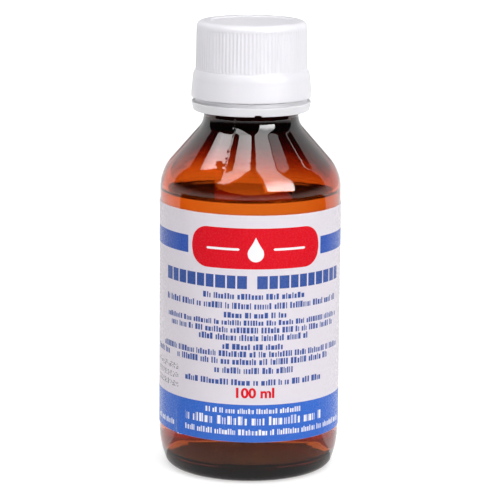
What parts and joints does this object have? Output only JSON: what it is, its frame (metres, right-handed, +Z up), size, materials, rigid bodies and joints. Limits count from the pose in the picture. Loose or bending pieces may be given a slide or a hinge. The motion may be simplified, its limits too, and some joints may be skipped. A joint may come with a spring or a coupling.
{
  "type": "solution bottle",
  "caption": "Round amber glass bottle for a disinfecting solution, with a wrap label and a white ribbed screw cap whose tamper ring stays on the neck.",
  "frame": {"origin": "centre of the base, on the plane that the bottle stands on", "axes": "+Z up along the bottle's axis; the middle of the label faces -Y"},
  "size_m": [0.0472, 0.0471, 0.1172],
  "materials": {
    "amber_glass": "polished",
    "clear_solution": "gloss",
    "label_paper": "satin",
    "cap_plastic": "satin",
    "liner_foam": "matte",
    "liner_film": "gloss"
  },
  "bodies": {
    "bottle": {"bottle": "amber_glass", "solution": "clear_solution", "label": "label_paper"},
    "liner": {"liner_core": "liner_foam", "liner_films": "liner_film"},
    "cap": {"cap": "cap_plastic"},
    "tamper_ring": {"tamper_ring": "cap_plastic", "tamper_bridges": "cap_plastic"}
  },
  "joints": [
    {"name": "cap_rise", "type": "slide", "parent": "bottle", "child": "liner", "axis": [0, 0, 1], "range_m": [0, 0.02545]},
    {"name": "cap_turn", "type": "hinge", "parent": "liner", "child": "cap", "pos_m": [0, 0, 0.107], "axis": [0, 0, 1], "range_deg": [0, 2880]},
    {"name": "ring_spin", "type": "hinge", "parent": "bottle", "child": "tamper_ring", "pos_m": [0, 0, 0.0946], "axis": [0, 0, 1], "continuous": true}
  ],
  "couplings": [
    {"joint": "cap_rise", "follows": "cap_turn", "m_per_rad": 0.00050611}
  ]
}
